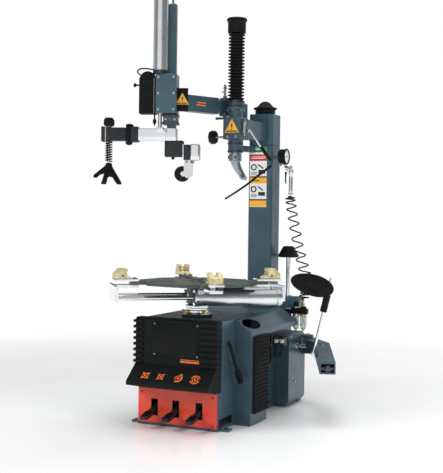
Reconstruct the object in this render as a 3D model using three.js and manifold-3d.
// Swing-arm tyre changer with a pneumatic helper arm and a side bead breaker.
// Millimetres, +Z up. Origin on the floor under the turntable's axis.
// +X is the bead-breaker side, -Y is the operator's side where the pedals are.
import * as THREE from 'three';
import { mergeVertices } from 'three/addons/utils/BufferGeometryUtils.js';
import Module from 'manifold-3d';

const wasm = await Module();
wasm.setup();

// ---------------------------------------------------------------- driving dimensions
const GAP = 0.3; // clearance between neighbouring pieces
const FACETING = 0.62; // share of the full number of flats that round parts get

const CABINET = { left: -200, right: 200, front: -190, back: 720, top: 484, wall: 4, floor: 12 };
const SIDE_BOX = { out: 283, front: -16, back: 178, lowTop: 430, canopyBack: 588, canopyThick: 26 };
const HAND_HOLE = { across: 36, along: 85, depth: 60, y: 81 };
const PRY_BAR = { radius: 6.5, grip: 14, gripEnd: 12 };
const PANEL_TOP = 168;
const COVER = { half: 204, face: -215, bendTop: 283, lip: -300, lipTop: 212, lipLow: 194, low: 172 };
const RIB = { pitch: 26, tall: 12, proud: 8, count: 8, first: 292, leftIn: -165, rightIn: 120 };
const PEDAL = { xs: [-114, -6, 110], axleY: -30, axleZ: 100, tipY: -290, tipZ: 46, wide: 22 };

const TABLE_TURN = -7; // resting angle of the turntable, degrees
const TABLE = { plateLow: 636, plateTop: 650, half: 265, corner: 95, hubLow: 545.5, slotIn: 62 };
const JAW = { half: 35, inner: 280, outer: 396, clampFace: 330, top: 710 };
const CLAMP = {
  offset: 95, z: 579, radius: 40, chamber: 33, start: -35, end: 377, rodRadius: 9, rodEnd: -389,
};

const GEARBOX = { halfX: 92, halfY: 105, low: 300, high: 466, neckTop: 545, neckRadius: 44 };
const DRIVE = { z: 340, gearY: 72, motorY: 330, low: 102, high: 124, gearRadius: 58, motorRadius: 34 };

const COLUMN = { x: 60, y: 660, half: 66, top: 1320, corner: 20, wall: 7, spindle: 34 };
const HUB = { low: 1322, top: 1482 };
const TOOL = { y: -380, shaft: 19, boxHalf: 46, boxLow: 1326, boxTop: 1433, flangeTop: 1517 };
const TOOL_SPAN = { sleeveLow: 1262, capLow: 1842, capTop: 1915, headTop: 1259 };

const POST = { x: -28, y: 545, radius: 13, low: 1286, top: 1553 };
const LINK = { low: 1451, top: 1529, wide: 50, forkLow: 1463, forkTop: 1517, pin: 10 };
const ELBOW = { x: -17, y: 320, linkRadius: 29, beamRadius: 28 };
const PRESS = { x: -154, y: 17, yaw: 19.6 };
const HOUSING = { left: -66, right: 30, front: -76, back: 30, low: 1430, top: 1612, footLow: 1379 };
const CYLINDER = { x: -48, y: -50, radius: 36, chamber: 31, low: 1613, top: 2066, rod: 10, rodTop: 2030 };
const MAST = { half: 20, top: 1945 };
const CROSS = { low: 1304, top: 1364, half: 22, left: -332, bodyRight: -156 };
const PRESS_ROD = { x: -299, radius: 6, ring: 12, low: 1182, top: 1378 };

const BEAD = { x: 305, y: 690, open: 22.3, low: 265, top: 330, pin: 12 };
const BEAD_ARM = { elbowX: 60, elbowY: -197, endY: -619, endTop: 296, endLow: 241, half: 36 };
const SHOVEL = { x: 4, y: -406, z: 303, lean: 12.7, rod: 6.5, reach: 372 };
const BEAD_CYLINDER = {
  y: 600, z: 297, radius: 78, chamber: 70, left: -110, right: 130, rod: 10, rodEnd: 327,
};

const GAUGE = { back: 160, front: 200, y: 616, z: 1262 };
const ROLLER = { x: 52, z: 1150, radius: 37, axle: 7, swivelX: 88, swivel: 12 };
const AIR = { y: 622, inletX: 262, outletX: 302, neckTop: 494 };
const CONE = { x: 188, y: 694, post: 11.5, radius: 54, low: 744, top: 802 };
const LOCK_KNOB = { z: 1340, stem: 5, radius: 33 };
const CONTROL = { y: -40, z: 1562, stemX: 9 };

// ---------------------------------------------------------------- finishes
const finish = (color, roughness, metalness) =>
  new THREE.MeshStandardMaterial({ color, roughness, metalness, flatShading: true });
const SLATE = finish(0x5a6b78, 0.45, 0.3);
const BLACK = finish(0x1f2426, 0.55, 0.0);
const ORANGE = finish(0xd8432a, 0.45, 0.1);
const CHROME = finish(0xe6e9ea, 0.12, 1.0);
const STEEL = finish(0xa9b0b3, 0.35, 0.9);
const ZINC = finish(0xd8c98a, 0.4, 0.7);
const IRON = finish(0x3c4548, 0.6, 0.5);
const RUBBER = finish(0x17191a, 0.85, 0.0);
const BRASS = finish(0xb8a25a, 0.35, 0.8);

// ---------------------------------------------------------------- solids
function toSolid(geometry) {
  const bare = geometry.clone();
  for (const name of Object.keys(bare.attributes)) {
    if (name !== 'position') bare.deleteAttribute(name);
  }
  const merged = mergeVertices(bare, 1e-4);
  const vertProperties = Float32Array.from(merged.attributes.position.array);
  const triVerts = Uint32Array.from(merged.index.array);
  const solid = new wasm.Manifold(new wasm.Mesh({ numProp: 3, vertProperties, triVerts }));
  if (solid.volume() > 0) return solid;
  triVerts.reverse();
  return new wasm.Manifold(new wasm.Mesh({ numProp: 3, vertProperties, triVerts }));
}

function toGeometry(solid) {
  const mesh = solid.getMesh();
  const geometry = new THREE.BufferGeometry();
  geometry.setAttribute('position', new THREE.Float32BufferAttribute(mesh.vertProperties, 3));
  geometry.setIndex(Array.from(mesh.triVerts));
  return geometry;
}

const join = (...parts) => toGeometry(parts.map(toSolid).reduce((sum, next) => sum.add(next)));
const cut = (body, ...tools) =>
  toGeometry(tools.map(toSolid).reduce((rest, tool) => rest.subtract(tool), toSolid(body)));
const common = (a, b) => toGeometry(toSolid(a).intersect(toSolid(b)));

const moved = (geometry, x, y, z) => geometry.clone().translate(x, y, z);
const turned = (geometry, degrees) => geometry.clone().rotateZ(THREE.MathUtils.degToRad(degrees));

const facets = (sides) => Math.max(6, 2 * Math.round((sides * FACETING) / 2));

// Radius of a faceted bore whose flats still clear a shaft that turns inside it.
const running = (radius, sides) => (radius + GAP) / Math.cos(Math.PI / facets(sides));

function block([x0, x1], [y0, y1], [z0, z1]) {
  const geometry = new THREE.BoxGeometry(x1 - x0, y1 - y0, z1 - z0);
  return geometry.translate((x0 + x1) / 2, (y0 + y1) / 2, (z0 + z1) / 2);
}

// Upright round bar or cone.
function round(x, y, [z0, z1], radius, sides = 24, topRadius = radius) {
  const geometry = new THREE.CylinderGeometry(topRadius, radius, z1 - z0, facets(sides));
  return geometry.rotateX(Math.PI / 2).translate(x, y, (z0 + z1) / 2);
}

// Round bar between two points.
function bar(from, to, radius, sides = 12, endRadius = radius) {
  const start = new THREE.Vector3(...from);
  const end = new THREE.Vector3(...to);
  const along = end.clone().sub(start);
  const geometry = new THREE.CylinderGeometry(endRadius, radius, along.length(), facets(sides));
  const up = new THREE.Vector3(0, 1, 0);
  const turn = new THREE.Quaternion().setFromUnitVectors(up, along.normalize());
  const middle = start.add(end).multiplyScalar(0.5);
  return geometry.applyQuaternion(turn).translate(middle.x, middle.y, middle.z);
}

// Flat outline [[a, b], ...] pushed along the axis that the plane leaves out.
function prism(plane, outline, [low, high]) {
  const shape = new THREE.Shape(outline.map(([a, b]) => new THREE.Vector2(a, b)));
  const geometry = new THREE.ExtrudeGeometry(shape, { depth: high - low, bevelEnabled: false });
  geometry.translate(0, 0, low);
  const frames = {
    xy: [[1, 0, 0], [0, 1, 0], [0, 0, 1]],
    yz: [[0, 1, 0], [0, 0, 1], [1, 0, 0]],
    xz: [[1, 0, 0], [0, 0, 1], [0, 1, 0]],
  };
  const [a, b, c] = frames[plane].map((v) => new THREE.Vector3(...v));
  return geometry.applyMatrix4(new THREE.Matrix4().makeBasis(a, b, c));
}

// Turned part: profile [[radius, z], ...] starting and ending on the axis.
function turning(profile, sides = 24) {
  const points = profile.map(([radius, z]) => new THREE.Vector2(radius, z));
  return new THREE.LatheGeometry(points, facets(sides)).rotateX(Math.PI / 2);
}

// Level box-section beam from one plan point to another.
function beam([ax, ay], [bx, by], width, [z0, z1]) {
  const length = Math.hypot(bx - ax, by - ay);
  const geometry = block([0, length], [-width / 2, width / 2], [z0, z1]);
  return geometry.rotateZ(Math.atan2(by - ay, bx - ax)).translate(ax, ay, 0);
}

function roundedSquare(half, corner, steps = 4) {
  const outline = [];
  for (let side = 0; side < 4; side += 1) {
    for (let step = 0; step <= steps; step += 1) {
      const angle = ((side + step / steps) * Math.PI) / 2;
      const cx = (half - corner) * (side === 0 || side === 3 ? 1 : -1);
      const cy = (half - corner) * (side < 2 ? 1 : -1);
      outline.push([cx + corner * Math.cos(angle), cy + corner * Math.sin(angle)]);
    }
  }
  return outline;
}

const machine = new THREE.Group();

function piece(parent, name, geometry, material) {
  const mesh = new THREE.Mesh(geometry, material);
  mesh.name = name;
  parent.add(mesh);
}

function subassembly(parent, x, y, degrees) {
  const group = new THREE.Group();
  group.position.set(x, y, 0);
  group.rotation.z = THREE.MathUtils.degToRad(degrees);
  parent.add(group);
  return group;
}

// ---------------------------------------------------------------- cabinet
function cabinetShell() {
  const c = CABINET;
  const outer = block([c.left, c.right], [c.front, c.back], [0, c.top]);
  const hollow = block(
    [c.left + c.wall, c.right - c.wall],
    [c.front + c.wall, c.back - c.wall],
    [c.floor, c.top - c.wall],
  );
  const wheelRest = prism('xz', [
    [c.right - 2, 0], [SIDE_BOX.out, 0], [SIDE_BOX.out, SIDE_BOX.lowTop],
    [c.right, c.top], [c.right - 2, c.top],
  ], [SIDE_BOX.front, SIDE_BOX.back]);
  const canopyLow = SIDE_BOX.lowTop - SIDE_BOX.canopyThick;
  const canopy = prism('xz', [
    [c.right - 2, canopyLow], [SIDE_BOX.out, canopyLow], [SIDE_BOX.out, SIDE_BOX.lowTop],
    [c.right, c.top], [c.right - 2, c.top],
  ], [SIDE_BOX.front + 20, SIDE_BOX.canopyBack]);
  const ears = [[-222, -150], [222, -150], [-222, 670], [240, 690]].map(([x, y]) =>
    block([Math.min(x - 22, Math.sign(x) * 190), Math.max(x + 22, Math.sign(x) * 190)],
      [y - 22, y + 22], [0, 10]));
  const slots = [[-228, -150], [228, -150], [-228, 670], [246, 690]].map(([x, y]) =>
    block([x - 10, x + 10], [y - 6, y + 6], [-1, 11]));
  const lugs = [[250, 262], [333, 345]].map((span) => join(
    block([c.right - 2, BEAD.x], [BEAD.y - 28, BEAD.y + 28], span),
    round(BEAD.x, BEAD.y, span, 28),
  ));
  const pin = round(BEAD.x, BEAD.y, [256, 340], BEAD.pin, 20);
  const boxHollow = prism('xz', [
    [c.right - c.wall - 2, c.floor], [SIDE_BOX.out - c.wall, c.floor],
    [SIDE_BOX.out - c.wall, SIDE_BOX.lowTop - 3], [c.right, c.top - 5], [c.right - c.wall - 2, c.top - 5],
  ], [SIDE_BOX.front + c.wall, SIDE_BOX.back - c.wall]);
  const underCanopy = prism('xz', [
    [c.right + c.wall, canopyLow - 2], [SIDE_BOX.out - c.wall, canopyLow - 2],
    [SIDE_BOX.out - c.wall, SIDE_BOX.lowTop - 3], [c.right + c.wall, c.top - 8],
  ], [SIDE_BOX.back + GAP, SIDE_BOX.canopyBack - c.wall]);
  const hooks = [
    bar([c.right - 2, -96, 380], [c.right + 30, -96, 380], 3.5, 8),
    bar([c.right - 2, -70, 292], [c.right + 46, -70, 292], 3.5, 8),
  ];
  const body = join(cut(outer, hollow), wheelRest, canopy, ...ears, ...lugs, pin, ...hooks);
  const pedalDoor = block([-172, 172], [c.front - 2, c.front + c.wall + 2], [30, 150]);
  const neckHole = round(0, 0, [c.top - 10, c.top + 2], GEARBOX.neckRadius + 6, 32);
  const recess = block([c.right - c.wall - 2, c.right + 2], [230, 440], [232, 372]);
  const rodHole = bar(
    [c.right - 10, BEAD_CYLINDER.y, BEAD_CYLINDER.z],
    [c.right + 10, BEAD_CYLINDER.y, BEAD_CYLINDER.z], BEAD_CYLINDER.rod + 6, 16);
  const skidSlot = block([c.right - c.wall - 2, c.right + 2], [-176, -30], [16, 52]);
  const drainHole = block([-60, 60], [150, 260], [-1, c.floor + 1]);
  const handHole = shoulderHole();
  const hollows = [boxHollow, underCanopy, recess];
  const holes = [pedalDoor, neckHole, rodHole, skidSlot, drainHole, handHole];
  return cut(body, ...hollows, ...holes, ...slots);
}

// Oval hand hole, cut square to the sloping shoulder above the wheel rest.
function shoulderHole() {
  const { across, along, depth, y } = HAND_HOLE;
  const rise = CABINET.top - SIDE_BOX.lowTop;
  const run = SIDE_BOX.out - CABINET.right;
  const oval = new THREE.CylinderGeometry(1, 1, depth, 28);
  oval.rotateX(Math.PI / 2).scale(across, along, 1).rotateY(Math.atan2(rise, run));
  return oval.translate(SIDE_BOX.out - run / 2, y, SIDE_BOX.lowTop + rise / 2);
}

function frontCover() {
  const v = COVER;
  const profile = [
    [-164, 491], [-206, 491], [v.face, 482], [v.face, v.bendTop],
    [v.lip, v.lipTop], [v.lip, v.lipLow], [-200, v.low], [-164, v.low],
  ];
  const skin = 5;
  const outer = prism('yz', profile, [-v.half, v.half]);
  const inner = prism('yz', [
    [-160, 491 - skin], [-206, 491 - skin], [v.face + skin, 482 - skin],
    [v.face + skin, v.bendTop], [v.lip + 8, v.lipTop - 3], [v.lip + 8, v.lipLow + 5],
    [-200, v.low + skin], [-160, v.low + skin],
  ], [-v.half + 3, v.half - 3]);
  const ribs = [];
  for (let i = 0; i < RIB.count; i += 1) {
    const low = RIB.first + i * RIB.pitch - RIB.tall / 2;
    const front = v.face - RIB.proud;
    ribs.push(block([-v.half - RIB.proud, RIB.leftIn], [front, -170], [low, low + RIB.tall]));
    ribs.push(block([RIB.rightIn, v.half + RIB.proud - 4], [front, -170], [low, low + RIB.tall]));
  }
  const cabinetSpace = block(
    [CABINET.left - GAP, CABINET.right + GAP], [CABINET.front - GAP, 0], [100, CABINET.top + GAP]);
  const sideSpace = block([-v.half + 3, v.half - 3], [v.face + skin, -100], [v.low + skin, 486]);
  return cut(join(outer, ...ribs), inner, cabinetSpace, sideSpace);
}

function pedalPanel() {
  const face = CABINET.front - GAP;
  const plate = block([-198, 198], [face - 4, face], [13, PANEL_TOP]);
  const slots = PEDAL.xs.map((x) => block([x - 17, x + 17], [face - 6, face + 2], [46, 122]));
  return cut(plate, ...slots);
}

function pedal(x) {
  const half = PEDAL.wide / 2;
  const { axleY, axleZ, tipY, tipZ } = PEDAL;
  const lever = prism('yz', [
    [axleY, axleZ + 8], [-175, 94], [-235, 74], [tipY, tipZ + 12],
    [tipY, tipZ], [-240, 56], [-180, 76], [axleY, axleZ - 8],
  ], [x - half, x + half]);
  const hub = bar([x - half, axleY, axleZ], [x + half, axleY, axleZ], 17, 20);
  const tread = prism('yz', [
    [-238, 73], [tipY - 6, tipZ + 12], [tipY - 6, tipZ - 2], [-238, 55],
  ], [x - 18, x + 18]);
  const bore = bar([x - 30, axleY, axleZ], [x + 30, axleY, axleZ], running(8, 20), 20);
  return cut(join(lever, hub, tread), bore);
}

function pedalValveBlock() {
  const { axleY, axleZ } = PEDAL;
  const manifold = block([-150, 150], [72, 118], [60, 140]);
  const plates = [-156, 150].map((x) => block([x, x + 6], [axleY - 20, 118], [60, 140]));
  const foot = block([-156, 156], [72, 118], [12 + GAP, 62]);
  const axle = bar([-153, axleY, axleZ], [153, axleY, axleZ], 8, 20);
  const valves = PEDAL.xs.map((x) => bar([x, 40, axleZ], [x, 74, axleZ], 14, 16));
  return join(manifold, ...plates, foot, axle, ...valves);
}

function wheelRestPad() {
  const x = SIDE_BOX.out + GAP;
  const grooves = [];
  for (let i = 0; i < 9; i += 1) {
    grooves.push(block([x + 16, x + 24], [0, 180], [88 + i * 36, 96 + i * 36]));
  }
  return cut(block([x, x + 20], [8, 172], [53, 407]), ...grooves);
}

function rearSideCover() {
  const wall = CABINET.right + GAP;
  const outer = prism('xz', [
    [wall, 14], [272, 14], [SIDE_BOX.out, 30], [SIDE_BOX.out, 345], [268, 362], [wall, 362],
  ], [470, 705]);
  const hollow = block([wall - 2, SIDE_BOX.out - 5], [476, 699], [20, 352]);
  const hingeRoom = block([wall - 2, 330], [655, 720], [246, 349]);
  const rodHole = bar([250, BEAD_CYLINDER.y, BEAD_CYLINDER.z],
    [300, BEAD_CYLINDER.y, BEAD_CYLINDER.z], BEAD_CYLINDER.rod + 6, 16);
  return cut(outer, hollow, hingeRoom, rodHole);
}

piece(machine, 'cabinet_shell', cabinetShell(), SLATE);
piece(machine, 'front_cover', frontCover(), BLACK);
piece(machine, 'pedal_panel', pedalPanel(), ORANGE);
['left', 'middle', 'right'].forEach((side, i) => {
  piece(machine, `pedal_${side}`, pedal(PEDAL.xs[i]), IRON);
});
piece(machine, 'pedal_valve_block', pedalValveBlock(), STEEL);
piece(machine, 'wheel_rest_pad', wheelRestPad(), RUBBER);
piece(machine, 'rear_side_cover', rearSideCover(), SLATE);

// ---------------------------------------------------------------- drive inside the cabinet
function gearbox() {
  const g = GEARBOX;
  const casing = block([-g.halfX, g.halfX], [-g.halfY, g.halfY], [g.low, g.high]);
  const flange = round(0, 0, [g.high - 4, 479], 110, 32);
  const neck = round(0, 0, [g.high, g.neckTop], g.neckRadius, 32);
  const collar = round(0, 0, [CABINET.top + 2, CABINET.top + 14], 72, 32);
  const wormShaft = bar([0, DRIVE.gearY, DRIVE.z], [DRIVE.low - 2, DRIVE.gearY, DRIVE.z], 24, 20);
  const stub = bar([0, DRIVE.gearY, DRIVE.z], [DRIVE.high + 6, DRIVE.gearY, DRIVE.z], 10, 16);
  const bore = round(0, 0, [395, g.neckTop + 2], running(20, 24), 24);
  return cut(join(casing, flange, neck, collar, wormShaft, stub), bore);
}

function pulley(y, radius, shaft) {
  const bore = running(shaft, 16);
  const wheel = bar([DRIVE.low, y, DRIVE.z], [DRIVE.high, y, DRIVE.z], radius + 4, 28);
  const groove = cut(
    bar([DRIVE.low + 5, y, DRIVE.z], [DRIVE.high - 5, y, DRIVE.z], radius + 10, 28),
    bar([DRIVE.low, y, DRIVE.z], [DRIVE.high, y, DRIVE.z], radius - 8, 28),
  );
  return cut(wheel, groove, bar([DRIVE.low - 5, y, DRIVE.z], [DRIVE.high + 5, y, DRIVE.z], bore, 16));
}

function beltLoop(extra, [low, high]) {
  const outline = [];
  const steps = 14;
  const gearRadius = DRIVE.gearRadius - 7 + extra;
  const motorRadius = DRIVE.motorRadius - 7 + extra;
  for (let i = 0; i <= steps; i += 1) {
    const angle = Math.PI / 2 + (Math.PI * i) / steps;
    outline.push([DRIVE.gearY + gearRadius * Math.cos(angle), DRIVE.z + gearRadius * Math.sin(angle)]);
  }
  for (let i = 0; i <= steps; i += 1) {
    const angle = -Math.PI / 2 + (Math.PI * i) / steps;
    outline.push([DRIVE.motorY + motorRadius * Math.cos(angle), DRIVE.z + motorRadius * Math.sin(angle)]);
  }
  return prism('yz', outline, [low, high]);
}

function motor() {
  const { motorY: y, z, low } = DRIVE;
  const can = bar([-120, y, z], [84, y, z], 74, 28);
  const nose = bar([84, y, z], [low - 3, y, z], 22, 20);
  const shaft = bar([84, y, z], [DRIVE.high + 6, y, z], 9, 16);
  const foot = block([-90, 50], [y - 50, y + 50], [CABINET.floor + GAP, CABINET.floor + 12]);
  const stand = block([-60, 20], [y - 30, y + 30], [CABINET.floor + 10, z - 60]);
  return join(can, nose, shaft, foot, stand);
}

function beadCylinder() {
  const b = BEAD_CYLINDER;
  const barrel = bar([b.left, b.y, b.z], [b.right, b.y, b.z], b.radius, 32);
  const nose = bar([b.right - 2, b.y, b.z], [b.right + 22, b.y, b.z], 24, 20);
  const saddle = block([-90, 90], [b.y - 40, b.y + 40], [CABINET.floor + GAP, b.z - 60]);
  const bore = bar([b.left + 20, b.y, b.z], [b.right + 30, b.y, b.z], running(b.rod, 16), 16);
  const chamber = bar([b.left + 12, b.y, b.z], [b.right - 12, b.y, b.z], b.chamber, 32);
  return cut(join(barrel, nose, saddle), bore, chamber);
}

function beadPistonRod() {
  const b = BEAD_CYLINDER;
  const piston = bar([50, b.y, b.z], [74, b.y, b.z], b.chamber - GAP, 32);
  return join(piston, bar([60, b.y, b.z], [b.rodEnd, b.y, b.z], b.rod, 16));
}

piece(machine, 'turntable_gearbox', gearbox(), IRON);
piece(machine, 'gearbox_pulley', pulley(DRIVE.gearY, DRIVE.gearRadius, 10), STEEL);
piece(machine, 'drive_motor', motor(), STEEL);
piece(machine, 'motor_pulley', pulley(DRIVE.motorY, DRIVE.motorRadius, 9), STEEL);
piece(machine, 'drive_belt', cut(
  beltLoop(6, [DRIVE.low + 6, DRIVE.high - 6]),
  beltLoop(0, [DRIVE.low, DRIVE.high]),
), RUBBER);
piece(machine, 'bead_cylinder', beadCylinder(), STEEL);
piece(machine, 'bead_piston_rod', beadPistonRod(), CHROME);

// ---------------------------------------------------------------- turntable
const table = subassembly(machine, 0, 0, TABLE_TURN);

// Plate with its corners cut square to the jaw slides, one slide along each diagonal.
function turntablePlate() {
  const { half, corner } = TABLE;
  const outline = [];
  for (let side = 0; side < 4; side += 1) {
    const angle = (side * Math.PI) / 2;
    for (const y of [-corner, corner]) {
      const x = half;
      outline.push([x * Math.cos(angle) - y * Math.sin(angle), x * Math.sin(angle) + y * Math.cos(angle)]);
    }
  }
  const plate = prism('xy', outline, [TABLE.plateLow, TABLE.plateTop]);
  const hub = round(0, 0, [TABLE.hubLow, TABLE.plateLow + 2], 40, 28);
  const shaft = round(0, 0, [400, TABLE.hubLow + 2], 20, 24);
  const bolt = round(0, 0, [TABLE.plateTop - 2, TABLE.plateTop + 9], 26, 6);
  const arms = [];
  const slots = [];
  for (let i = 0; i < 4; i += 1) {
    const angle = 45 + i * 90;
    arms.push(turned(block([0, 318], [-48, 48], [TABLE.plateLow, TABLE.plateTop]), angle));
    const through = [TABLE.plateLow - 2, TABLE.plateTop + 2];
    slots.push(turned(block([TABLE.slotIn, 330], [-15, 15], through), angle));
  }
  return cut(join(plate, hub, shaft, bolt, ...arms), ...slots);
}

// Sliding shoe that reaches through the plate's slot and carries one end of a clamp cylinder.
function jawSlide(kind) {
  const top = block([JAW.inner, JAW.outer], [-JAW.half, JAW.half], [TABLE.plateTop + GAP, 662]);
  const web = block([JAW.inner + 6, 322], [-12, 12], [628, 656]);
  const shoe = block([JAW.inner, JAW.outer - 4], [-30, 30], [621, TABLE.plateLow - GAP]);
  const parts = [top, web, shoe];
  const reach = CLAMP.offset + 22;
  if (kind === 'barrel') {
    parts.push(block([CLAMP.end + GAP, JAW.outer - 4], [-reach, reach], [562, 634]));
  }
  if (kind === 'rod') {
    parts.push(block([-CLAMP.rodEnd + GAP - 6, -CLAMP.rodEnd + 8], [-reach, reach], [562, 634]));
  }
  const body = join(...parts);
  if (kind !== 'rod') return body;
  const { rodEnd, z } = CLAMP;
  const seats = [-CLAMP.offset, CLAMP.offset].map((y) =>
    bar([-rodEnd - 20, y, z], [-rodEnd + 20, y, z], running(CLAMP.rodRadius, 16), 16));
  return cut(body, ...seats);
}

function jawClaw() {
  const low = 662 + GAP;
  const base = prism('xz', [
    [JAW.inner + 26, low], [JAW.outer - 2, low], [JAW.outer - 2, 688], [372, JAW.top],
    [338, JAW.top], [326, 700], [JAW.clampFace + 6, 690], [JAW.clampFace - 14, 672],
  ], [-30, 30]);
  const notch = block([320, 352], [-9, 9], [680, 720]);
  return cut(base, notch);
}

const JAW_ANGLES = { right: 45, back: 135, left: 225, front: 315 };
for (const [side, angle] of Object.entries(JAW_ANGLES)) {
  const arm = subassembly(table, 0, 0, angle);
  const kind = { right: 'barrel', left: 'rod' }[side];
  piece(arm, `jaw_slide_${side}`, jawSlide(kind), CHROME);
  piece(arm, `jaw_claw_${side}`, jawClaw(), ZINC);
}
piece(table, 'turntable_plate', turntablePlate(), IRON);

const clampAxis = subassembly(table, 0, 0, JAW_ANGLES.right);
[['a', -CLAMP.offset], ['b', CLAMP.offset]].forEach(([label, y]) => {
  const z = CLAMP.z;
  const barrel = join(
    bar([CLAMP.start + 18, y, z], [CLAMP.end - 18, y, z], CLAMP.radius - 3, 28),
    bar([CLAMP.start, y, z], [CLAMP.start + 22, y, z], CLAMP.radius, 28),
    bar([CLAMP.end - 22, y, z], [CLAMP.end, y, z], CLAMP.radius, 28),
  );
  const bore = bar([CLAMP.start - 5, y, z], [CLAMP.end - 12, y, z], running(CLAMP.rodRadius, 16), 16);
  const chamber = bar([CLAMP.start + 8, y, z], [CLAMP.end - 8, y, z], CLAMP.chamber, 28);
  piece(clampAxis, `clamp_barrel_${label}`, cut(barrel, bore, chamber), STEEL);
  piece(clampAxis, `clamp_rod_${label}`, join(
    bar([CLAMP.rodEnd - 8, y, z], [CLAMP.start + 22, y, z], CLAMP.rodRadius, 16),
    bar([CLAMP.start + 10, y, z], [CLAMP.start + 26, y, z], CLAMP.chamber - GAP, 28),
  ), CHROME);
});

// ---------------------------------------------------------------- column and what stands beside it
function column() {
  const { x, y, half, corner, wall, top, spindle } = COLUMN;
  const tube = moved(prism('xy', roundedSquare(half, corner), [CABINET.top + GAP + 14, top]), x, y, 0);
  const foot = block([x - half - 14, x + half + 14], [y - half - 14, 716],
    [CABINET.top + GAP, CABINET.top + 15]);
  const pivot = round(x, y, [top - 2, HUB.top + 12], spindle, 28);
  const ledge = beam([x - 42, y - 54], [POST.x, POST.y], 44, [POST.low, POST.low + 30]);
  const pad = round(POST.x, POST.y, [POST.low, POST.low + 30], 24, 24);
  const post = round(POST.x, POST.y, [POST.low + 10, POST.top], POST.radius, 20);
  const collar = round(POST.x, POST.y, [LINK.low - 14, LINK.low - GAP], 22, 20);
  const gaugePipe = bar([x + half - 4, GAUGE.y, GAUGE.z], [GAUGE.back, GAUGE.y, GAUGE.z], 9, 12);
  const inside = moved(prism('xy', roundedSquare(half - wall, corner - wall), [0, top - 12]), x, y, 0);
  return join(cut(join(tube, foot), inside), pivot, ledge, pad, post, collar, gaugePipe);
}

function columnCap() {
  const { x, y } = COLUMN;
  const cap = turning([
    [0, HUB.top + 4], [52, HUB.top + 4], [52, 1510], [62, 1513], [62, 1519], [40, 1524],
    [31, 1534], [16, 1550], [0, 1554],
  ], 28);
  const pocket = round(0, 0, [HUB.top, HUB.top + 12 + GAP], running(COLUMN.spindle, 28), 28);
  return moved(cut(cap, pocket), x, y, 0);
}

function gauge() {
  const { back, front, y, z } = GAUGE;
  const body = bar([back + GAP, y, z], [front, y, z], 38, 28);
  const rim = bar([front - 6, y, z], [front + 4, y, z], 41, 28);
  const dial = bar([front - 2, y, z], [front + 10, y, z], 35, 28);
  return cut(join(body, rim), dial);
}

function inflatorGun() {
  const head = bar([194, 616, 1206], [230, 606, 1196], 11, 14);
  const hanger = bar([192, 616, 1218], [196, 616, 1204], 6, 10);
  const grip = bar([229, 606, 1200], [229, 604, 1064], 11, 16, 9);
  const lug = block([208, 218], [601, 617], [1186, 1198]);
  const knuckle = bar([205, 609, 1190], [232, 606, 1190], 5, 8);
  return join(head, hanger, grip, lug, knuckle);
}

function coiledHose() {
  const centre = new THREE.CatmullRomCurve3([
    [229, 604, 1061], [230, 604, 1030], [246, 611, 930], [270, 620, 800], [300, 632, 680],
    [318, 640, 610], [312, 634, 565], [300, 622, 528],
  ].map((p) => new THREE.Vector3(...p)));
  class Coil extends THREE.Curve {
    getPoint(t) {
      const point = centre.getPoint(t);
      const swell = Math.min(1, t * 12, (1 - t) * 9);
      const angle = t * 11 * 2 * Math.PI;
      point.x += 33 * swell * Math.cos(angle);
      point.y += 33 * swell * Math.sin(angle);
      return point;
    }
  }
  const section = new THREE.Shape();
  section.absarc(0, 0, 3.5, 0, 2 * Math.PI);
  return new THREE.ExtrudeGeometry(section, {
    steps: 110, curveSegments: 2, bevelEnabled: false, extrudePath: new Coil(),
  });
}

function airUnit() {
  const bracket = block([CABINET.right + GAP, 240], [606, 616], [440, 482]);
  const body = block([238, 324], [605, 639], [456, 488]);
  const bowls = [AIR.inletX, AIR.outletX].map((x) => turning([
    [0, 372], [9, 376], [17, 392], [17, 460], [0, 460],
  ], 18).translate(x, AIR.y, 0));
  const neck = round(AIR.inletX, AIR.y, [486, AIR.neckTop], 9, 16);
  const outlet = round(AIR.outletX - 2, AIR.y, [486, 524], 7, 12);
  return join(bracket, body, ...bowls, neck, outlet);
}

function centeringCone() {
  const { x, y, post: postRadius, radius, low, top } = CONE;
  const seat = block([165, 262], [642, 716], [CABINET.top + GAP, 540]);
  const post = round(x, y, [538, low + 16], postRadius, 20);
  const cone = turning([
    [0, low], [radius, low], [radius, low + 12], [28, top - 2], [12, top], [0, top],
  ], 28);
  return join(seat, post, cone.translate(x, y, 0));
}

piece(machine, 'column', column(), SLATE);
piece(machine, 'column_cap', columnCap(), BLACK);
piece(machine, 'pressure_gauge', gauge(), BLACK);
piece(machine, 'inflator_gun', inflatorGun(), STEEL);
piece(machine, 'gun_trigger', join(
  block([196, 203], [603, 613], [1122, 1182]),
  block([196, 206], [603, 613], [1176, 1184 - GAP]),
), BLACK);
piece(machine, 'coiled_hose', coiledHose(), BLACK);
piece(machine, 'air_unit', airUnit(), BRASS);
piece(machine, 'regulator_knob', round(AIR.inletX, AIR.y, [AIR.neckTop + GAP, 520], 14, 16), BLACK);
piece(machine, 'centering_cone', centeringCone(), BLACK);
piece(machine, 'pry_bar', join(
  bar([214, -112, 396], [240, -74, 262], PRY_BAR.radius, 10),
  bar([239, -76, 266], [252, -56, 202], PRY_BAR.grip, 16, PRY_BAR.gripEnd),
), BLACK);

// ---------------------------------------------------------------- swing arm with the mount tool
const swing = subassembly(machine, COLUMN.x, COLUMN.y, 0);

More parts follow.
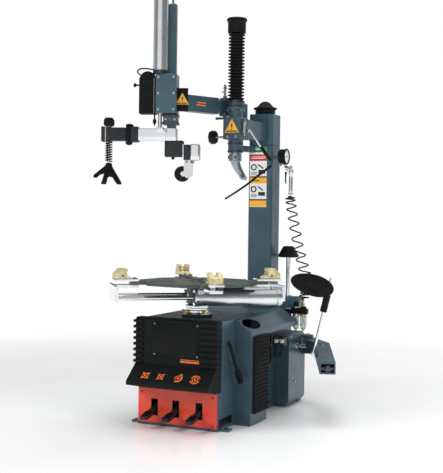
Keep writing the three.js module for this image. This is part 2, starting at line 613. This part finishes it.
function swingArm() {
  const hub = prism('xy', roundedSquare(COLUMN.half, COLUMN.corner), [HUB.low, HUB.top]);
  const { y, boxHalf } = TOOL;
  const arm = block([-30, 30], [y + boxHalf - 2, 2 - COLUMN.half], [1340, 1432]);
  const box = block([-boxHalf, boxHalf], [y - boxHalf, y + boxHalf], [TOOL.boxLow, TOOL.boxTop]);
  const neck = round(0, y, [TOOL.boxTop - 2, 1470], 36, 24);
  const flange = round(0, y, [1470, 1484], 45, 24);
  const topSleeve = round(0, y, [1484, TOOL.flangeTop], 38, 24);
  const sleeve = round(0, y, [TOOL_SPAN.sleeveLow, TOOL.boxLow + 2], 36, 24);
  const knobZ = LOCK_KNOB.z;
  const knobBoss = bar([-boxHalf - 6, y, knobZ], [-boxHalf + 4, y, knobZ], 12, 16);
  const handleBoss = block([boxHalf - 2, boxHalf + 4], [y + 4, y + 36], [1352, 1388]);
  const body = join(hub, arm, box, neck, flange, topSleeve, sleeve, knobBoss, handleBoss);
  const spindleBore = round(0, 0, [HUB.low - 2, HUB.top + 2], running(COLUMN.spindle, 28), 28);
  const toolBore = round(0, y, [TOOL_SPAN.sleeveLow - 2, TOOL.flangeTop + 2], running(TOOL.shaft, 24), 24);
  const knobRun = running(LOCK_KNOB.stem, 12);
  const knobBore = bar([-boxHalf - 20, y, knobZ], [-boxHalf + 12, y, knobZ], knobRun, 12);
  return cut(body, spindleBore, toolBore, knobBore);
}

function toolShaft() {
  const { y, shaft } = TOOL;
  const rod = round(0, y, [TOOL_SPAN.headTop - 30, TOOL_SPAN.capLow + 4], shaft, 24);
  const cap = turning([
    [0, TOOL_SPAN.capLow], [44, TOOL_SPAN.capLow], [44, 1900], [50, 1903],
    [50, TOOL_SPAN.capTop - 3], [44, TOOL_SPAN.capTop], [0, TOOL_SPAN.capTop],
  ], 24);
  return join(rod, cap.translate(0, y, 0));
}

function bellows() {
  const low = TOOL.flangeTop + 1;
  const high = TOOL_SPAN.capLow - 1;
  const folds = 11;
  const pitch = (high - low) / folds;
  const profile = [[0, low]];
  for (let i = 0; i < folds; i += 1) {
    profile.push([29, low + i * pitch], [41, low + (i + 0.35) * pitch], [41, low + (i + 0.6) * pitch]);
  }
  profile.push([29, high], [0, high]);
  const core = round(0, 0, [low - 5, high + 5], TOOL.shaft + 2, 18);
  return cut(turning(profile, 18), core).translate(0, TOOL.y, 0);
}

// Hooked steel head that leans out from under the shaft and ends in a rim claw.
function mountHead() {
  const top = TOOL_SPAN.headTop;
  const socket = round(0, 0, [top - 38, top], 31, 24);
  const neck = prism('xz', [
    [-26, top - 30], [26, top - 30], [48, 1168], [60, 1140], [56, 1129],
    [34, 1131], [30, 1142], [14, 1160], [-4, 1196],
  ], [-20, 20]);
  const claw = prism('xz', [[26, 1148], [60, 1140], [56, 1129], [22, 1134]], [-46, 34]);
  const bore = round(0, 0, [1200, top + 2], running(TOOL.shaft, 24), 24);
  const seat = round(0, 0, [top - 31, top + 2], running(TOOL.shaft, 24), 24);
  return cut(join(socket, neck, claw), common(bore, seat)).rotateZ(THREE.MathUtils.degToRad(24))
    .translate(0, TOOL.y, 0);
}

function lockHandle() {
  const start = [TOOL.boxHalf + 4 + GAP, TOOL.y + 20, 1370];
  const knee = [TOOL.boxHalf + 22, TOOL.y + 20, 1370];
  const end = [159, TOOL.y + 73, 1225];
  const grip = [112, TOOL.y + 53, 1294];
  return join(
    bar(start, knee, 8, 12), bar([knee[0] - 2, knee[1], knee[2] + 3], grip, 4.5, 10),
    bar(grip, end, 9, 12, 7),
  );
}

piece(swing, 'swing_arm', swingArm(), SLATE);
piece(swing, 'tool_shaft', toolShaft(), STEEL);
piece(swing, 'spring_bellows', bellows(), RUBBER);
piece(swing, 'mount_head', mountHead(), STEEL);
piece(swing, 'lock_knob', join(
  bar([-122, TOOL.y, LOCK_KNOB.z], [-TOOL.boxHalf + 8, TOOL.y, LOCK_KNOB.z], LOCK_KNOB.stem, 12),
  bar([-136, TOOL.y, LOCK_KNOB.z], [-104, TOOL.y, LOCK_KNOB.z], LOCK_KNOB.radius, 16),
), BLACK);
piece(swing, 'lock_handle', lockHandle(), CHROME);
piece(swing, 'tyre_lever', join(
  bar([-22, TOOL.y - 66, 1036], [74, TOOL.y - 8, 1112], 5.5, 10),
  bar([72, TOOL.y - 9, 1110], [171, TOOL.y + 46, 1200], 5.5, 10, 7),
), IRON);

// ---------------------------------------------------------------- helper arm
function helperLink() {
  const span = [LINK.low, LINK.top];
  const bars = beam([POST.x, POST.y], [ELBOW.x, ELBOW.y], LINK.wide, span);
  const hub = round(POST.x, POST.y, span, 34, 28);
  const end = round(ELBOW.x, ELBOW.y, span, ELBOW.linkRadius, 28);
  const mouth = round(ELBOW.x, ELBOW.y, [LINK.forkLow, LINK.forkTop], 44, 28);
  const pin = round(ELBOW.x, ELBOW.y, span, LINK.pin, 20);
  const bore = round(POST.x, POST.y, [LINK.low - 2, LINK.top + 2], running(POST.radius, 20), 20);
  return join(cut(join(bars, hub, end), mouth, bore), pin);
}

const press = subassembly(machine, PRESS.x, PRESS.y, PRESS.yaw);
press.updateMatrixWorld(true);
const elbow = press.worldToLocal(new THREE.Vector3(ELBOW.x, ELBOW.y, 0));

function helperBeam() {
  const h = HOUSING;
  const housing = block([h.left, h.right], [h.front, h.back], [h.low, h.top]);
  const guide = block([-36, h.right], [-34, h.back], [h.footLow, h.low + 2]);
  const reach = elbow.clone().multiplyScalar(1 - 60 / elbow.length());
  const arm = beam([8, 10], [reach.x, reach.y], LINK.wide, [LINK.low, LINK.top]);
  const innerSpan = [LINK.forkLow + 1, LINK.forkTop - 1];
  const tongue = beam([reach.x * 0.9, reach.y * 0.9], [elbow.x, elbow.y], 44, innerSpan);
  const hub = round(elbow.x, elbow.y, innerSpan, ELBOW.beamRadius, 28);
  const body = join(housing, guide, arm, tongue, hub);
  const slot = MAST.half + 0.5;
  const mastBore = block([-slot, slot], [-slot, slot], [h.footLow - 2, h.top + 2]);
  const rodBore = round(CYLINDER.x, CYLINDER.y, [h.low - 2, h.top + 2], CYLINDER.rod + 1, 16);
  const pinBore = round(elbow.x, elbow.y, [LINK.low, LINK.top], running(LINK.pin, 20), 20);
  return cut(body, mastBore, rodBore, pinBore);
}

function pressCylinder() {
  const { x, y, radius, low, top } = CYLINDER;
  const tube = round(x, y, [low + 14, top - 14], radius - 1.5, 28);
  const ends = [[low, low + 18], [top - 18, top]].map((span) => round(x, y, span, radius, 28));
  const bore = round(x, y, [low - 2, top - 20], CYLINDER.rod + 1, 16);
  const chamber = round(x, y, [low + 18, top - 18], CYLINDER.chamber, 28);
  return cut(join(tube, ...ends), bore, chamber);
}

function controlBox() {
  const right = HOUSING.left - GAP;
  const body = block([right - 79, right], [-74, -8], [1426, 1594]);
  const { y, z, stemX } = CONTROL;
  const stem = round(right - stemX, y, [1372, 1428], 4, 10);
  const knob = round(right - stemX, y, [1384, 1402], 9, 12);
  const boss = bar([right - 84, y, z], [right - 78, y, z], 9, 12);
  return join(body, stem, knob, boss);
}

function crossArm() {
  const { low, top, half, left } = CROSS;
  const barRail = block([left + 40, 24], [-half, half], [low + 2, top - 2]);
  const socket = block([-26, 26], [-26, 26], [low, top]);
  const clampBody = block([left, CROSS.bodyRight], [-half - 8, half + 8], [low - 6, top + 6]);
  const rodLug = block([-64, -30], [-66, -half + 4], [top - 16, top]);
  const { rodTop } = CYLINDER;
  const rod = round(CYLINDER.x, CYLINDER.y, [top - 6, rodTop], CYLINDER.rod, 16);
  const piston = round(CYLINDER.x, CYLINDER.y, [rodTop - 18, rodTop], CYLINDER.chamber - GAP, 28);
  const bracket = block([-30, 58], [-24, 24], [1229, low + 4]);
  const turret = block([54, 136], [-26, 26], [1213, 1290]);
  const clampScrew = round(-199, 0, [low - 26, top + 20], 8, 12);
  const body = join(barRail, socket, clampBody, rodLug, rod, piston, bracket, turret, clampScrew);
  const rodBore = round(PRESS_ROD.x, 0, [low - 10, top + 10], running(PRESS_ROD.ring, 16), 16);
  const swivelBore = round(ROLLER.swivelX, 0, [1210, 1262], running(ROLLER.swivel, 20), 20);
  return cut(body, rodBore, swivelBore);
}

// Threaded press rod; the ring grooves stand in for the rack teeth.
function pressRod() {
  const { x, radius, ring, low, top } = PRESS_ROD;
  const profile = [[0, low], [radius, low]];
  for (let z = 1206; z < 1276; z += 13) {
    profile.push([radius, z], [ring, z + 3], [ring, z + 7], [radius, z + 10]);
  }
  profile.push([radius, top], [0, top]);
  const head = block([-22, 22], [-22, 22], [1374, 1413]);
  return join(turning(profile, 12), head).translate(x, 0, 0);
}

function tripodFoot() {
  const hub = round(0, 0, [1160, 1198], 20, 18, 14);
  const legs = [200, 250, 330].map((degrees, i) => {
    const reach = [76, 52, 74][i];
    const leg = prism('xz', [
      [0, 1192], [10, 1192], [reach, 1112 - (i === 0 ? -16 : 16)],
      [reach - 4, 1104 - (i === 0 ? -16 : 16)], [reach - 26, 1112], [0, 1166],
    ], [-7, 7]);
    return turned(leg, degrees);
  });
  const bore = round(0, 0, [1178, 1204], running(PRESS_ROD.radius, 16), 16);
  return cut(join(hub, ...legs), bore).translate(PRESS_ROD.x, 0, 0);
}

function rollerArm() {
  const { x, z, axle: axleRadius, swivelX, swivel } = ROLLER;
  const stem = round(swivelX, 0, [1196, 1260], swivel, 20);
  const collar = round(swivelX, 0, [1200, 1213 - GAP], 22, 20);
  const plate = block([62, 104], [-14, -6], [z, 1206]);
  const toe = bar([83, -14, z], [83, -6, z], 21, 20);
  const bridge = block([70, 104], [-14, 14], [1196, 1208]);
  const axleArm = beam([84, -10], [x, -10], 8, [z - 12, z + 12]);
  const axle = bar([x, -14, z], [x, 26, z], axleRadius, 16);
  return join(stem, collar, plate, toe, bridge, axleArm, axle);
}

piece(machine, 'helper_link', helperLink(), SLATE);
piece(press, 'helper_beam', helperBeam(), SLATE);
piece(press, 'press_cylinder', pressCylinder(), STEEL);
piece(press, 'control_box', controlBox(), BLACK);
piece(press, 'control_lever', join(
  bar([-174, CONTROL.y, CONTROL.z], [-151 - GAP, CONTROL.y, CONTROL.z], 4, 10),
  bar([-176, CONTROL.y, CONTROL.z], [-164, CONTROL.y, CONTROL.z], 9, 12),
), BLACK);
piece(press, 'press_mast', join(
  block([-MAST.half, MAST.half], [-MAST.half, MAST.half], [CROSS.top + GAP, MAST.top]),
  round(0, 0, [MAST.top - 2, MAST.top + 24], 5, 10),
), SLATE);
piece(press, 'cross_arm', crossArm(), CHROME);
piece(press, 'press_rod', pressRod(), CHROME);
piece(press, 'tripod_foot', tripodFoot(), IRON);
piece(press, 'roller_arm', rollerArm(), CHROME);
piece(press, 'press_roller', cut(
  bar([ROLLER.x, -5, ROLLER.z], [ROLLER.x, 22, ROLLER.z], ROLLER.radius, 28),
  bar([ROLLER.x, -8, ROLLER.z], [ROLLER.x, 30, ROLLER.z], running(ROLLER.axle, 16), 16),
), RUBBER);

// ---------------------------------------------------------------- bead breaker arm
const beadSide = subassembly(machine, BEAD.x, BEAD.y, BEAD.open);

function beadArm() {
  const a = BEAD_ARM;
  const span = [BEAD.low, BEAD.top];
  const knuckle = round(0, 0, span, 33, 28);
  const back = beam([0, 0], [a.elbowX, a.elbowY], 66, span);
  const elbowPost = round(a.elbowX, a.elbowY, span, 36, 20);
  const front = prism('yz', [
    [a.elbowY, BEAD.top], [a.endY, a.endTop], [a.endY, a.endLow], [a.elbowY, BEAD.low],
  ], [a.elbowX - a.half, a.elbowX + a.half]);
  const ear = block([SHOVEL.x + 10, a.elbowX - a.half + 4], [SHOVEL.y - 14, SHOVEL.y + 14], [288, 318]);
  const mouth = block([a.elbowX - a.half + 6, a.elbowX + a.half - 6], [a.endY - 2, a.endY + 70],
    [a.endLow + 8, a.endTop - 8]);
  const bore = round(0, 0, [BEAD.low - 2, BEAD.top + 2], running(BEAD.pin, 20), 20);
  const body = cut(join(knuckle, back, elbowPost, front, ear), mouth, bore);
  const pinY = a.endY + 16;
  const pin = bar([a.elbowX - a.half + 3, pinY, 262], [a.elbowX + a.half - 3, pinY, 262], 8, 12);
  return join(body, pin);
}

piece(beadSide, 'bead_arm', beadArm(), SLATE);

// The blade and its rod are built upright at their pivot, then leaned out together.
const parked = new THREE.Group();
parked.position.set(SHOVEL.x, SHOVEL.y, SHOVEL.z);
parked.rotation.y = THREE.MathUtils.degToRad(SHOVEL.lean);
beadSide.add(parked);

function shovelRod() {
  const eye = bar([-8, 0, 0], [8, 0, 0], 10, 16);
  return join(eye, round(0, 0, [0, SHOVEL.reach], SHOVEL.rod, 14));
}

// Blade outline around the rod, longer towards the cabinet, with a socket below it.
function beadShovel() {
  const outline = [];
  const steps = 28;
  for (let i = 0; i < steps; i += 1) {
    const angle = (2 * Math.PI * i) / steps;
    const wide = Math.cos(angle) < 0 ? 118 : 92;
    outline.push([-68 + wide * Math.cos(angle), 52 * Math.sin(angle)]);
  }
  const plate = prism('xz', outline, [-13, 13]);
  plate.rotateY(THREE.MathUtils.degToRad(2)).translate(0, 0, 316);
  const socket = round(0, 0, [206, 300], 15, 18, 17);
  const bore = round(0, 0, [200, SHOVEL.reach + GAP], running(SHOVEL.rod, 14), 14);
  return cut(join(plate, socket), bore);
}

piece(parked, 'shovel_rod', shovelRod(), CHROME);
piece(parked, 'bead_shovel', beadShovel(), BLACK);

export default machine;
